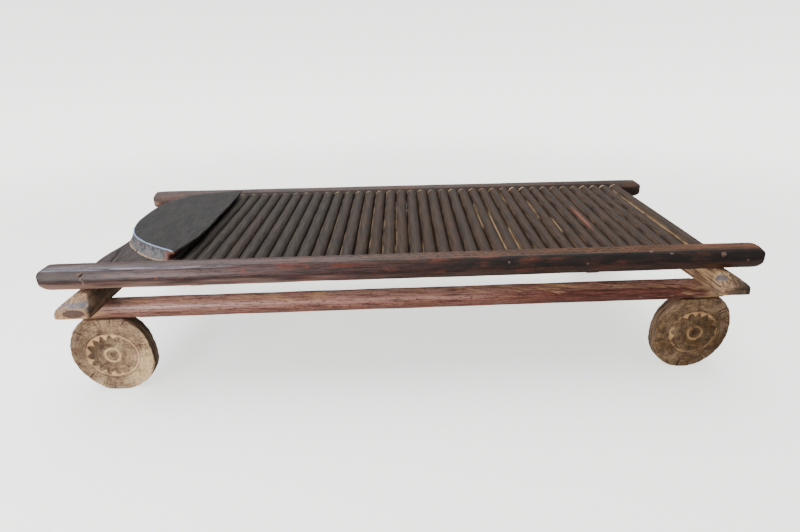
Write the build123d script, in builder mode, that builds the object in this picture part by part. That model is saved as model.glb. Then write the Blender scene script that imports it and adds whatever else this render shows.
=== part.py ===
from build123d import *
import os
from math import cos, pi, radians, sin

os.makedirs("parts", exist_ok=True)

# Low daybed of hewn poles, sticks and disc feet.
# Millimetres. The floor is z = 0, the head end is -X and the front side is -Y.
# x is measured from midway between the disc feet until the pieces are saved.

# Driving dimensions
LENGTH_MID_X = 12.3           # middle of the whole length, from midway between the feet
WIDTH = 1010                  # cross beams, tip to tip
RAIL_Y = 424                  # side rails' centre lines, out from the middle
FRONT_RAIL_Z = 406            # side rails' centre lines, above the floor
BACK_RAIL_Z = 404
FRONT_RAIL_R = (40, 38.5)     # at the head end, at the foot end
BACK_RAIL_R = (37, 36.5)
RAIL_SEAT_Z = 369             # where the side rails sit on the cross beams
BEAM_BASE_Z = 306             # flat underside of the cross beams
BEAM_INNER, BEAM_OUTER = 905, 1012    # cross beams' long edges, out from the middle
SILL_Z = 274.5                # lower rails' centre lines, above the floor
SILL_R = 33.5
SILL_HALF = 1000              # lower rails, half their length
FRONT_SILL_Y = -370
BACK_SILL_Y = 420
FOOT_SEAT_Z = 247             # where the lower rails sit on the disc feet
FOOT_T = 45                   # disc feet, face to face
FOOT_FACE_OUT = 30            # outer faces of the feet, out from the lower rails' centre lines
SLAT_COUNT = 37               # the last one is the thicker end bar
SLAT_R = 21.3
END_BAR_R = 25
SLAT_Z = 398                  # slats' centre lines, above the floor
FRONT_FIRST_X, FRONT_PITCH = -677, 43.6
BACK_FIRST_X, BACK_PITCH = -654, 44.6
END_BAR_FRONT_X, END_BAR_BACK_X = 909, 954
TENON_R = 8.5
MORTISE_R = 11
BOARD_BASE_Z, BOARD_TOP_Z = 396, 428
HEADREST_TOP_Z = 456
PEG_R = 7.5
PEG_PLAY = 0.1                # between a peg and its hole

# The head board's edge beside the first slat, in the front and back housings
BOARD_FRONT_INNER_X, BOARD_BACK_INNER_X = -701, -679
BOARD_HOUSED = 24             # how much of each of the board's ends keeps straight for its housing
BOARD_OUTER = [(-914, -404), (-908, 10), (-914, 407)]
BOARD_BOW = 3                 # how much the board widens within its housings
HOUSING_GAP = 0.3             # round the board's ends in the side rails

# Cross beams' centre lines, out from the middle
BEAM_X, BEAM_W = (BEAM_INNER + BEAM_OUTER) / 2, BEAM_OUTER - BEAM_INNER

# Where the slats' shoulders meet the rails, and how deep the mortises go
FRONT_SHOULDER_Y, BACK_SHOULDER_Y = -385, 387
TENON_LENGTH = 23
MORTISE_DEPTH = 25
MORTISE_RISE = 2.2            # each tenon lies near the floor of its wider round hole

BASE_UP = (Align.CENTER, Align.CENTER, Align.MIN)
TOP_DOWN = (Align.CENTER, Align.CENTER, Align.MAX)


def slat_x(index, y):
    """Where a slat's centre line crosses a line parallel to the rails; the slats fan out a little."""
    front_x = FRONT_FIRST_X + FRONT_PITCH * index
    back_x = BACK_FIRST_X + BACK_PITCH * index
    if index == SLAT_COUNT - 1:
        front_x, back_x = END_BAR_FRONT_X, END_BAR_BACK_X
    return front_x + (back_x - front_x) * (y - FRONT_SHOULDER_Y) / (BACK_SHOULDER_Y - FRONT_SHOULDER_Y)


def slat_radius(index):
    """The sticks are cut from branches, so each is a little thicker or thinner than the next."""
    return END_BAR_R if index == SLAT_COUNT - 1 else SLAT_R + 0.3 * sin(1.9 * index)


def save(builder, label):
    """The frame's origin is below the middle of the whole length."""
    piece = builder.part.moved(Location((-LENGTH_MID_X, 0, 0)))
    piece.label = label
    export_step(piece, f"parts/{label}.step")


# Wooden pegs. The rail pegs slant in from the rails' outer faces, down into the beams.
RAIL_PEG_XS = (-934, 924)
RAIL_PEG_TURN = radians(32)   # off the vertical
RAIL_PEG_LENGTH = 104
# A peg's head, out from its rail's centre line and above it
FRONT_PEG_HEAD, BACK_PEG_HEAD = (34.6, 20), (32.9, 17)
SILL_PEG_X = 978
SILL_PEG_ENDS = (272, 335)
FOOT_PEG_ENDS = (212, 268)
FOOT_PEG_GAP = 56
HEADREST_PEG_ENDS = (408, 444)
HEADREST_PEG_SPOTS = [(-800, -210), (-800, 0), (-800, 210)]


def rail_peg_spots(side):
    """Axis planes of the two pegs of one side rail; side is -1 for the front and 1 for the back."""
    out, rise = FRONT_PEG_HEAD if side < 0 else BACK_PEG_HEAD
    head_z = rise + (FRONT_RAIL_Z if side < 0 else BACK_RAIL_Z)
    slant = (0, -side * sin(RAIL_PEG_TURN), -cos(RAIL_PEG_TURN))
    return [Plane(origin=(x, side * (RAIL_Y + out), head_z), z_dir=slant) for x in RAIL_PEG_XS]


def upright(spots, ends, radius, mode=Mode.SUBTRACT):
    """Upright round holes or pegs between two heights."""
    low, high = ends
    with Locations(*[(x, y, low) for x, y in spots]):
        Cylinder(radius, high - low, align=BASE_UP, mode=mode)


def drill(ends):
    """A hole runs a little past both ends of its peg."""
    return ends[0] - 1, ends[1] + 1


# Side rails: tapered poles with one long flat hewn down the upper inner side
def side_rail(side, rail_z, radii, flat_ats, tip_points, tip_round):
    """flat_ats is how far the flat lies from the centre line, at the head end and at the foot end."""
    y = side * RAIL_Y
    widest = max(radii)
    head_x, foot_x = tip_points[0][0], tip_points[4][0]
    length, mid_x = foot_x - head_x, (head_x + foot_x) / 2
    flat_turn = radians(55)
    flat_at = sum(flat_ats) / 2
    flat_y, flat_z = -side * cos(flat_turn), sin(flat_turn)
    with BuildPart() as rail:
        with Locations((mid_x, y, rail_z)):
            Cone(*radii, length, rotation=(0, 90, 0))
        flat = Plane(
            origin=(mid_x, y + flat_at * flat_y, rail_z + flat_at * flat_z),
            z_dir=((flat_ats[0] - flat_ats[1]) / length, flat_y, flat_z),
        )
        split(bisect_by=flat, keep=Keep.BOTTOM)
        # Tips, as seen from the side and from above
        with BuildSketch(Plane.XZ.offset(-y)) as elevation:
            with BuildLine():
                Polyline(*[(px, rail_z + pz) for px, pz in tip_points], close=True)
            make_face()
            fillet(elevation.vertices(), radius=tip_round)
        extrude(amount=widest + 5, both=True, mode=Mode.INTERSECT)
        with BuildSketch(Plane.XY.offset(rail_z)):
            with Locations((mid_x, y)):
                RectangleRounded(length, 2 * widest + 4, radius=26)
        extrude(amount=widest + 5, both=True, mode=Mode.INTERSECT)
        # Flats where the rail sits on the beams
        with Locations((-BEAM_X, y, RAIL_SEAT_Z), (BEAM_X, y, RAIL_SEAT_Z)):
            Box(BEAM_W + 10, 2 * widest, widest, align=TOP_DOWN, mode=Mode.SUBTRACT)
        # Mortises for the slats' tenons
        shoulder = FRONT_SHOULDER_Y if side < 0 else BACK_SHOULDER_Y
        bottom = shoulder + side * MORTISE_DEPTH
        with BuildSketch(Plane.XZ.offset(-bottom)):
            mid_tenon = shoulder + side * TENON_LENGTH / 2
            with Locations(*[(slat_x(i, mid_tenon), SLAT_Z + MORTISE_RISE) for i in range(SLAT_COUNT)]):
                Circle(MORTISE_R)
        extrude(amount=side * 60, mode=Mode.SUBTRACT)
        # Housing for the end of the head board
        board_x, board_y = BOARD_OUTER[0 if side < 0 else 2]
        inner_x = BOARD_FRONT_INNER_X if side < 0 else BOARD_BACK_INNER_X
        with Locations((inner_x + HOUSING_GAP, board_y + side * HOUSING_GAP, BOARD_BASE_Z - HOUSING_GAP)):
            Box(
                inner_x - board_x + BOARD_BOW, 60, BOARD_TOP_Z - BOARD_BASE_Z + 2 * HOUSING_GAP,
                align=(Align.MAX, Align.MIN if side < 0 else Align.MAX, Align.MIN), mode=Mode.SUBTRACT,
            )
        for spot in rail_peg_spots(side):
            with Locations(spot.offset(-20).location):
                Cylinder(
                    PEG_R + PEG_PLAY, RAIL_PEG_LENGTH + 21,
                    align=BASE_UP, mode=Mode.SUBTRACT,
                )
    return rail


FRONT_TIPS = [
    (-1056, -16), (-1056, 14), (-1024, 44), (1015, 44), (1055, 16), (1055, -14), (1037, -44), (-1031, -44),
]
BACK_TIPS = [
    (-1048, -15), (-1048, 15), (-1033, 40), (1050, 40), (1082, 16), (1082, -18), (1066, -40), (-1028, -40),
]

front_side_rail = side_rail(-1, FRONT_RAIL_Z, FRONT_RAIL_R, (33, 38), FRONT_TIPS, 16)
save(front_side_rail, "front_side_rail")

back_side_rail = side_rail(1, BACK_RAIL_Z, BACK_RAIL_R, (31.5, 31.5), BACK_TIPS, 13)
save(back_side_rail, "back_side_rail")


# Cross beams: split logs, flat side down, with the ends bevelled off on top
def cross_beam(end):
    """end is -1 for the head and 1 for the foot."""
    inner, outer = BEAM_INNER, BEAM_OUTER
    half_y = WIDTH / 2
    bevel_y, nose_z = half_y - 42, BEAM_BASE_Z + 28
    with BuildPart() as beam:
        with BuildSketch(Plane.XZ) as section:
            with BuildLine():
                Line((end * inner, BEAM_BASE_Z), (end * outer, BEAM_BASE_Z))
                Line((end * outer, BEAM_BASE_Z), (end * outer, BEAM_BASE_Z + 8))
                ThreePointArc(
                    (end * outer, BEAM_BASE_Z + 8), (end * (outer - 22), BEAM_BASE_Z + 39),
                    (end * (outer - 58), RAIL_SEAT_Z),
                )
                Line((end * (outer - 58), RAIL_SEAT_Z), (end * (inner + 20), RAIL_SEAT_Z))
                ThreePointArc(
                    (end * (inner + 20), RAIL_SEAT_Z), (end * (inner + 5), RAIL_SEAT_Z - 10),
                    (end * inner, RAIL_SEAT_Z - 28),
                )
                Line((end * inner, RAIL_SEAT_Z - 28), (end * inner, BEAM_BASE_Z))
            make_face()
        extrude(amount=half_y, both=True)
        with BuildSketch(Plane.YZ) as side_view:
            with BuildLine():
                Polyline(
                    (-half_y, BEAM_BASE_Z), (half_y, BEAM_BASE_Z), (half_y, nose_z), (bevel_y, RAIL_SEAT_Z),
                    (-bevel_y, RAIL_SEAT_Z), (-half_y, nose_z), close=True,
                )
            make_face()
        extrude(amount=outer + 10, both=True, mode=Mode.INTERSECT)
        with BuildSketch(Plane.XY.offset(BEAM_BASE_Z)) as plan:
            with Locations((end * BEAM_X, 0)):
                Rectangle(BEAM_W, WIDTH)
            corners = plan.vertices().sort_by(Axis.X, reverse=end < 0)
            fillet(corners[2:], radius=16)
            fillet(plan.vertices().sort_by(Axis.X, reverse=end < 0)[:2], radius=10)
        extrude(amount=100, mode=Mode.INTERSECT)
        for side in (-1, 1):
            for spot in rail_peg_spots(side):
                with Locations(spot.location):
                    Cylinder(
                        PEG_R + PEG_PLAY, RAIL_PEG_LENGTH + 1,
                        align=BASE_UP, mode=Mode.SUBTRACT,
                    )
        upright([(end * SILL_PEG_X, FRONT_SILL_Y), (end * SILL_PEG_X, BACK_SILL_Y)],
                drill(SILL_PEG_ENDS), PEG_R + PEG_PLAY)
    return beam


save(cross_beam(-1), "head_cross_beam")
save(cross_beam(1), "foot_cross_beam")


# Disc feet: slices of log, hewn by eye, flat on top for the lower rail
RIM_ROUND = 5
# Each disc's hub (x, z), its side, and its rim's distance from the hub every 30 degrees, from +X up
FEET = {
    "head_front_disc_foot": (-930, 124, -1, (121, 125, 133, 136, 140, 133, 127, 123, 126, 130, 128, 129)),
    "foot_front_disc_foot": (930, 126, -1, (113, 123, 136, 137, 137, 136, 133, 139, 137, 127, 117, 112)),
    "head_back_disc_foot": (-930, 125, 1, (124, 129, 135, 137, 135, 130, 125, 124, 127, 129, 126, 123)),
    "foot_back_disc_foot": (930, 126, 1, (119, 125, 133, 137, 138, 134, 130, 131, 132, 129, 121, 117)),
}


def foot_mid_y(side):
    """The outer face of each disc is close to flush with the outer side of its lower rail."""
    sill_y = FRONT_SILL_Y if side < 0 else BACK_SILL_Y
    return sill_y + side * (FOOT_FACE_OUT - FOOT_T / 2)


def foot_pegs(mid_x, side):
    return [(mid_x - FOOT_PEG_GAP / 2, foot_mid_y(side)), (mid_x + FOOT_PEG_GAP / 2, foot_mid_y(side))]


def disc_foot(mid_x, mid_z, side, reaches):
    rim = []
    for k, reach in enumerate(reaches):
        turn = 2 * pi * k / len(reaches)
        rim.append((mid_x + reach * cos(turn), mid_z + reach * sin(turn)))
    with BuildPart() as foot:
        with BuildSketch(Plane.XZ.offset(-foot_mid_y(side))):
            with BuildLine():
                Spline(*rim, periodic=True)
            make_face()
        extrude(amount=FOOT_T / 2, both=True)
        fillet(foot.faces().filter_by(Axis.Y).edges(), radius=RIM_ROUND)
        with Locations((mid_x, foot_mid_y(side), 0)):
            Box(
                300, FOOT_T, FOOT_SEAT_Z,
                align=BASE_UP, mode=Mode.INTERSECT,
            )
        upright(foot_pegs(mid_x, side), drill(FOOT_PEG_ENDS), PEG_R + PEG_PLAY)
    return foot


for label, foot_values in FEET.items():
    save(disc_foot(*foot_values), label)


# Lower rails: poles flattened where the beams and the feet meet them
def lower_rail(side):
    y = FRONT_SILL_Y if side < 0 else BACK_SILL_Y
    with BuildPart() as sill:
        with BuildSketch(Plane.YZ):
            with Locations((y, SILL_Z)):
                Circle(SILL_R)
        extrude(amount=SILL_HALF, both=True)
        chamfer(sill.faces().filter_by(Axis.X).edges(), length=5)
        with Locations((-BEAM_X, y, BEAM_BASE_Z), (BEAM_X, y, BEAM_BASE_Z)):
            Box(BEAM_W + 16, 80, 20, align=BASE_UP, mode=Mode.SUBTRACT)
        for mid_x, _, foot_side, _ in FEET.values():
            if foot_side == side:
                with Locations((mid_x, y, FOOT_SEAT_Z)):
                    Box(200, 80, 20, align=TOP_DOWN, mode=Mode.SUBTRACT)
                upright(foot_pegs(mid_x, side), drill(FOOT_PEG_ENDS), PEG_R + PEG_PLAY)
        upright([(-SILL_PEG_X, y), (SILL_PEG_X, y)], drill(SILL_PEG_ENDS), PEG_R + PEG_PLAY)
    return sill


save(lower_rail(-1), "front_lower_rail")
save(lower_rail(1), "back_lower_rail")


# Head board: a plank between the side rails, its outer edge slightly bowed
with BuildPart() as head_board:
    with BuildSketch(Plane.XY.offset(BOARD_BASE_Z)):
        with BuildLine():
            ThreePointArc(*BOARD_OUTER)
            front_y, back_y = BOARD_OUTER[0][1], BOARD_OUTER[2][1]
            Polyline(
                BOARD_OUTER[2],
                (BOARD_BACK_INNER_X, back_y), (BOARD_BACK_INNER_X, back_y - BOARD_HOUSED),
                (BOARD_FRONT_INNER_X, front_y + BOARD_HOUSED), (BOARD_FRONT_INNER_X, front_y),
                BOARD_OUTER[0],
            )
        make_face()
    extrude(amount=BOARD_TOP_Z - BOARD_BASE_Z)
    upright(HEADREST_PEG_SPOTS, drill(HEADREST_PEG_ENDS), PEG_R + PEG_PLAY)
save(head_board, "head_board")

# Headrest: a half-moon block on the head board, undercut towards the slats.
# Its outer side from the front corner round to the back corner, then the middle of its slat side.
HEADREST_FOOT = [
    (-714, -393), (-770, -370), (-838, -302), (-896, -210), (-919, -80), (-918, 60), (-907, 150),
    (-873, 218), (-804, 288), (-690, 346), (-685, 0),
]
HEADREST_CROWN = [
    (-692, -385), (-730, -357), (-817, -286), (-884, -197), (-921, -74), (-925, 60), (-915, 150),
    (-882, 220), (-813, 291), (-655, 348), (-655, 0),
]
with BuildPart() as headrest:
    for height, outline in ((BOARD_TOP_Z, HEADREST_FOOT), (HEADREST_TOP_Z, HEADREST_CROWN)):
        with BuildSketch(Plane.XY.offset(height)):
            with BuildLine():
                Spline(*outline[:-1])
                ThreePointArc(outline[-2], outline[-1], outline[0])
            make_face()
    loft(ruled=True)
    fillet(headrest.faces().sort_by(Axis.Z)[-1].edges(), radius=4)
    upright(HEADREST_PEG_SPOTS, drill(HEADREST_PEG_ENDS), PEG_R + PEG_PLAY)
save(headrest, "headrest")


# Slats: round sticks with shouldered ends, thinned to tenons
def slat(index):
    radius = slat_radius(index)
    start = Vector(slat_x(index, FRONT_SHOULDER_Y), FRONT_SHOULDER_Y, SLAT_Z)
    along = Vector(slat_x(index, BACK_SHOULDER_Y), BACK_SHOULDER_Y, SLAT_Z) - start
    span = along.length
    axis_plane = Plane(origin=start, x_dir=along.normalized(), z_dir=(0, 0, 1))
    neck = 10
    shoulder = 23
    with BuildPart() as stick:
        with BuildSketch(axis_plane):
            with BuildLine():
                Polyline(
                    (-TENON_LENGTH, 0), (-TENON_LENGTH, TENON_R), (0, TENON_R), (neck, 0.63 * radius),
                    (shoulder, radius), (span - shoulder, radius), (span - neck, 0.63 * radius),
                    (span, TENON_R), (span + TENON_LENGTH, TENON_R), (span + TENON_LENGTH, 0), close=True,
                )
            make_face()
        revolve(axis=Axis(start, along))
    return stick


for index in range(SLAT_COUNT - 1):
    save(slat(index), f"slat_{index + 1:02d}")
save(slat(SLAT_COUNT - 1), "foot_end_bar")

# Pegs and dowels, each kind in one node
with BuildPart() as rail_pegs:
    for side in (-1, 1):
        for spot in rail_peg_spots(side):
            with Locations(spot.location):
                Cylinder(PEG_R, RAIL_PEG_LENGTH, align=BASE_UP)
save(rail_pegs, "rail_pegs")

with BuildPart() as lower_rail_pegs:
    corners = [(x, y) for x in (-SILL_PEG_X, SILL_PEG_X) for y in (FRONT_SILL_Y, BACK_SILL_Y)]
    upright(corners, SILL_PEG_ENDS, PEG_R, Mode.ADD)
save(lower_rail_pegs, "lower_rail_pegs")

with BuildPart() as foot_dowels:
    for mid_x, _, side, _ in FEET.values():
        upright(foot_pegs(mid_x, side), FOOT_PEG_ENDS, PEG_R, Mode.ADD)
save(foot_dowels, "foot_dowels")

with BuildPart() as headrest_dowels:
    upright(HEADREST_PEG_SPOTS, HEADREST_PEG_ENDS, PEG_R, Mode.ADD)
save(headrest_dowels, "headrest_dowels")
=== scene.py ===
from math import pi, radians

import bpy
import numpy as np
from mathutils import Matrix, Vector


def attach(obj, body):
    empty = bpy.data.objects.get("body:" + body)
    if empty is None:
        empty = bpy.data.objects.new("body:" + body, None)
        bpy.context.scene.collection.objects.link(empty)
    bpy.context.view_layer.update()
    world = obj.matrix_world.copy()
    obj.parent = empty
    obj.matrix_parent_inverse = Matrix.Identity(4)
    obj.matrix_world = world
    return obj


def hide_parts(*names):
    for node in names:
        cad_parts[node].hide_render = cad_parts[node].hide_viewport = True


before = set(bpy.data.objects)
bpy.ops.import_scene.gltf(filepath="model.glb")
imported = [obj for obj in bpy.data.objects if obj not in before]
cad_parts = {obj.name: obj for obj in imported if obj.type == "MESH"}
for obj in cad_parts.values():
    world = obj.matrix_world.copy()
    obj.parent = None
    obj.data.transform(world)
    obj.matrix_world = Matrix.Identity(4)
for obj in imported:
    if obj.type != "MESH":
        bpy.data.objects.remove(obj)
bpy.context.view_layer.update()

# ---------------------------------------------------------------------------
# Disc feet. Four slices of log, hewn by eye, that stand on edge under the lower
# rails. A ring of teeth round a hub is carved in each outer face; the faces are
# end grain, with checks that run in from the rim.

MM = 0.001
# The frame's origin is below the middle of the whole length; here x starts midway between the feet.
LENGTH_MID_X = 12.3


def paint(red, green, blue):
    """A colour given as on a screen, 0 to 255, for a shader socket."""
    screen = np.array([red, green, blue]) / 255
    linear = np.where(screen <= 0.04045, screen / 12.92, ((screen + 0.055) / 1.055) ** 2.4)
    return (*[float(channel) for channel in linear], 1.0)


class Value:
    """A shader value that can be used in sums."""

    def __init__(self, finish, socket):
        self.finish, self.socket = finish, socket

    def sum(self, operation, *terms):
        node = self.finish.node("ShaderNodeMath", {"operation": operation}, dict(enumerate(terms)))
        return Value(self.finish, node.outputs[0])

    def __add__(self, other):
        return self.sum("ADD", self, other)

    def __sub__(self, other):
        return self.sum("SUBTRACT", self, other)

    def __rsub__(self, other):
        return self.sum("SUBTRACT", other, self)

    def __mul__(self, other):
        return self.sum("MULTIPLY", self, other)

    __radd__, __rmul__ = __add__, __mul__

    def between(self, low, high):
        """0 below low, 1 above high, with a soft step between; low may be the larger."""
        node = self.finish.node(
            "ShaderNodeMapRange", {"interpolation_type": "SMOOTHSTEP"},
            {"Value": self, "From Min": low, "From Max": high},
        )
        return Value(self.finish, node.outputs[0])

    def at_most(self, other):
        return self.sum("MINIMUM", self, other)

    def at_least(self, other):
        return self.sum("MAXIMUM", self, other)


class Finish:
    """A finish, put together node by node."""

    def __init__(self, name):
        self.material = bpy.data.materials.new(name)
        self.material.use_nodes = True
        self.tree = self.material.node_tree
        self.tree.nodes.clear()
        self.place = self.node("ShaderNodeTexCoord").outputs["Object"]

    def node(self, kind, settings=None, sockets=None):
        node = self.tree.nodes.new(kind)
        for key, setting in (settings or {}).items():
            setattr(node, key, setting)
        for key, given in (sockets or {}).items():
            given = given.socket if isinstance(given, Value) else given
            if isinstance(given, bpy.types.NodeSocket):
                self.tree.links.new(given, node.inputs[key])
            else:
                node.inputs[key].default_value = given
        return node

    def layers(self, *names):
        """Values that the mesh carries point by point."""
        nodes = [self.node("ShaderNodeAttribute", {"attribute_name": name}) for name in names]
        return [Value(self, node.outputs["Fac"]) for node in nodes]

    def grain(self, size, detail=3.0, roughness=0.55, shift=0.0):
        """Noise whose patches are about size = (x, y, z) millimetres."""
        scale = tuple(1 / (side * MM) for side in size)
        stretched = self.node(
            "ShaderNodeMapping", None,
            {"Vector": self.place, "Scale": scale, "Location": (shift, shift, shift)},
        )
        noise = self.node(
            "ShaderNodeTexNoise", None,
            {"Vector": stretched.outputs[0], "Scale": 1.0, "Detail": detail, "Roughness": roughness},
        )
        return Value(self, noise.outputs[0])

    def blend(self, under, over, share):
        """Colour over on colour under, by a value from 0 to 1."""
        node = self.node("ShaderNodeMix", {"data_type": "RGBA"}, {0: share, 6: under, 7: over})
        return node.outputs[2]

    def coats(self, colour, *coats):
        """A ground colour under thin coats, each a colour and its share, in the order they lie."""
        for coat, share in coats:
            colour = self.blend(colour, coat, share)
        return colour

    def done(self, colour, roughness, height, depth, specular):
        """Colour, roughness and a height of depth millimetres make the finished surface."""
        bump = self.node("ShaderNodeBump", None, {"Height": height, "Distance": depth * MM, "Strength": 1.0})
        wood = self.node(
            "ShaderNodeBsdfPrincipled", None,
            {
                "Base Color": colour, "Roughness": roughness, "Normal": bump.outputs[0],
                "Specular IOR Level": specular,
            },
        )
        self.node("ShaderNodeOutputMaterial", None, {"Surface": wood.outputs[0]})


def wander(rng, points, sizes, count=12):
    """Smooth unevenness, about -1 to 1, whose bumps are about sizes = (x, y, z) millimetres long."""
    turns = rng.normal(size=(count, 3)) * (pi / np.array(sizes))
    phases = rng.uniform(0, 2 * pi, count)
    total = 0
    for turn, phase in zip(turns, phases):
        total = total + np.sin(points @ turn + phase)
    # The sum of so many waves spreads by the root of half their count; 0.6 brings most of it within 1
    return total * (2 / count) ** 0.5 * 0.6


def step(values, low, high):
    """The soft step from 0 at low to 1 at high, for arrays; low may be the larger."""
    share = np.clip((values - low) / (high - low), 0, 1)
    return share * share * (3 - 2 * share)


def places(x, y, z):
    """Points from three coordinates, each of them a number or an array."""
    return np.stack(np.broadcast_arrays(x, y, z), -1)


def spread(values, count):
    """A layer's rings, with those of the end faces like their neighbours."""
    return np.pad(values, ((count, count), (0, 0)), mode="edge")


def skin(name, rings, finish, slot, node, **layers):
    """A closed mesh over rings of points in millimetres, with a fan at each end. It stands for a CAD node.
    A layer that has values only for the rings along the piece keeps its last ones on the end faces."""
    count, around = rings.shape[:2]
    points = np.vstack([rings.reshape(-1, 3), rings[0].mean(0), rings[-1].mean(0)])
    points = (points - (LENGTH_MID_X, 0, 0)) * MM
    here, there = np.arange(around), (np.arange(around) + 1) % around
    low = np.arange(count - 1)[:, None] * around
    quads = np.stack([low + here, low + there, low + there + around, low + here + around], -1).reshape(-1, 4)
    last = (count - 1) * around
    first_hub, last_hub = np.full(around, count * around), np.full(around, count * around + 1)
    fans = np.vstack([
        np.stack([there, here, first_hub], 1), np.stack([last + here, last + there, last_hub], 1),
    ])
    halves = np.vstack([quads[:, :3], quads[:, [0, 2, 3]], fans])
    corners = points[halves]
    if (np.cross(corners[:, 0], corners[:, 1]) * corners[:, 2]).sum() < 0:
        quads, fans = quads[:, ::-1], fans[:, ::-1]
    mesh = bpy.data.meshes.new(name)
    mesh.vertices.add(len(points))
    mesh.vertices.foreach_set("co", points.ravel())
    loops = np.concatenate([quads.ravel(), fans.ravel()])
    mesh.loops.add(len(loops))
    mesh.loops.foreach_set("vertex_index", loops)
    starts = np.concatenate([np.arange(len(quads)) * 4, quads.size + np.arange(len(fans)) * 3])
    mesh.polygons.add(len(starts))
    mesh.polygons.foreach_set("loop_start", starts)
    mesh.polygons.foreach_set("use_smooth", np.ones(len(starts), bool))
    for layer, values in layers.items():
        values = np.atleast_2d(values)
        if len(values) > 1:
            values = spread(values, (count - len(values)) // 2)
        values = np.broadcast_to(values, (count, around))
        flat = np.concatenate([values.ravel(), [values[0].mean(), values[-1].mean()]])
        mesh.attributes.new(layer, "FLOAT", "POINT").data.foreach_set("value", flat.astype(np.float32))
    mesh.update()
    mesh.validate()
    mesh.materials.append(finish.material)
    piece = bpy.data.objects.new(name, mesh)
    bpy.context.scene.collection.objects.link(piece)
    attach(piece, "root")
    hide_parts(node)


disc_wood = Finish("disc_end_grain")
reach, tone, raw, deep, face = disc_wood.layers("reach", "tone", "raw", "deep", "face")
blotch = disc_wood.grain((20, 17, 17), 5, 0.68)
speck = disc_wood.grain((5, 5, 5), 6, 0.85)
YEARS_PER_METRE = 190.0
year = disc_wood.node(
    "ShaderNodeTexNoise", {"noise_dimensions": "1D"},
    {"W": reach * YEARS_PER_METRE, "Scale": 1.0, "Detail": 2.0},
)
year = Value(disc_wood, year.outputs[0])
dry = disc_wood.blend(paint(128, 104, 90), paint(246, 216, 176), blotch.between(0.28, 0.74))
brown = disc_wood.blend(paint(86, 64, 40), paint(152, 118, 76), blotch.between(0.28, 0.74))
raw_wood = disc_wood.blend(paint(228, 180, 126), paint(255, 214, 156), tone.between(0.3, 0.6))
end_grain = disc_wood.coats(
    disc_wood.blend(brown, dry, tone),
    (paint(246, 214, 160), tone.between(0.62, 1.0) * blotch.between(0.3, 0.5)),
    (paint(64, 45, 31), speck.between(0.5, 0.62) * (0.75 - tone * 0.2)),
    (paint(82, 62, 44), year.between(0.48, 0.66) * (0.6 - tone * 0.3) * face),
    (raw_wood, raw * (tone + blotch.between(0.38, 0.52) + 0.15).at_most(0.97)),
    # Dark star, grooves, checks, hub hole and pit, and painted shade on each disc's outer side
    (paint(44, 32, 24), deep * 0.85),
)
furrow = disc_wood.grain((60, 6, 60), 4)
bark = disc_wood.blend(paint(92, 76, 60), paint(168, 140, 112), furrow.between(0.35, 0.7))
disc_wood.done(
    disc_wood.blend(bark, end_grain, face), 0.86 - raw * 0.12,
    blotch * 0.4 + speck * 0.35 + year * 0.25 * face, 1.6, specular=0.3,
)

DISC_FACE_OUT, DISC_THICK, DISC_ROUND = 30, 45, 5
DISC_TOP = 247
FEET_X = 930
FRONT_SILL_Y, BACK_SILL_Y = -370, 420
# The hub's height, the lower rail's y, the side, and the rim's reach from the hub every 30 degrees.
# Then the ring of teeth: its middle from the hub (x, z), half its width and height, how crisp it is,
# how pale the wood, the turn in degrees where the teeth are best kept, how many more checks run in on
# the side away from the head, and the seed.
DISCS = {
    "head_front_disc_foot": (
        -FEET_X, 124, FRONT_SILL_Y, -1, (121, 125, 133, 136, 140, 133, 127, 123, 126, 130, 128, 129),
        (-1, -1), (81, 74), 1.0, 0.5, 175, 13, 5),
    "foot_front_disc_foot": (
        FEET_X, 126, FRONT_SILL_Y, -1, (113, 123, 136, 137, 137, 136, 133, 139, 137, 127, 117, 112),
        (-6, 2), (79, 74), 0.75, 0.22, 110, 0, 8),
    "head_back_disc_foot": (
        -FEET_X, 125, BACK_SILL_Y, 1, (124, 129, 135, 137, 135, 130, 125, 124, 127, 129, 126, 123),
        (2, 0), (80, 76), 0.8, 0.5, 150, 0, 12),
    "foot_back_disc_foot": (
        FEET_X, 126, BACK_SILL_Y, 1, (119, 125, 133, 137, 138, 134, 130, 131, 132, 129, 121, 117),
        (-3, 1), (78, 75), 0.7, 0.4, 60, 0, 15),
}
TEETH, TOOTH, BAND = 15, 17, 3.6
HUB_IN, HUB_OUT, PIT = 19, 26, 8
CHECKS, CHECK_IN = 13, (84, 108)

# Rings from the middle of the carved face, over the rim, to the middle of the plain back: their share
# of the reach, how far out they lie on the rounded edges, and how far behind the face
disc_turns = np.linspace(0, 2 * pi, 400, endpoint=False)[None, :]
face_in = np.concatenate([np.linspace(0.01, 0.9, 62), np.linspace(0.905, 1, 10)])[:, None]
bend = np.linspace(0, pi / 2, 6)[1:, None]
rim_across = np.linspace(DISC_ROUND, DISC_THICK - DISC_ROUND, 11)[1:-1, None]
back_in = np.linspace(1, 0.02, 34)[:, None]
shares = np.vstack([face_in, 1 + 0 * bend, 1 + 0 * rim_across, 1 + 0 * bend, back_in])
outs = DISC_ROUND * np.vstack([0 * face_in, np.sin(bend), 1 + 0 * rim_across, np.cos(bend), 0 * back_in])
backs = np.vstack([
    0 * face_in, DISC_ROUND * (1 - np.cos(bend)), rim_across,
    DISC_THICK - DISC_ROUND + DISC_ROUND * np.sin(bend), DISC_THICK + 0 * back_in,
])
front_face = (np.arange(len(shares)) <= len(face_in))[:, None] * 1.0
grain_side = 1 - step(backs, 1.5, 5.5) * step(backs, DISC_THICK - 1.5, DISC_THICK - 5.5)

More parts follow.
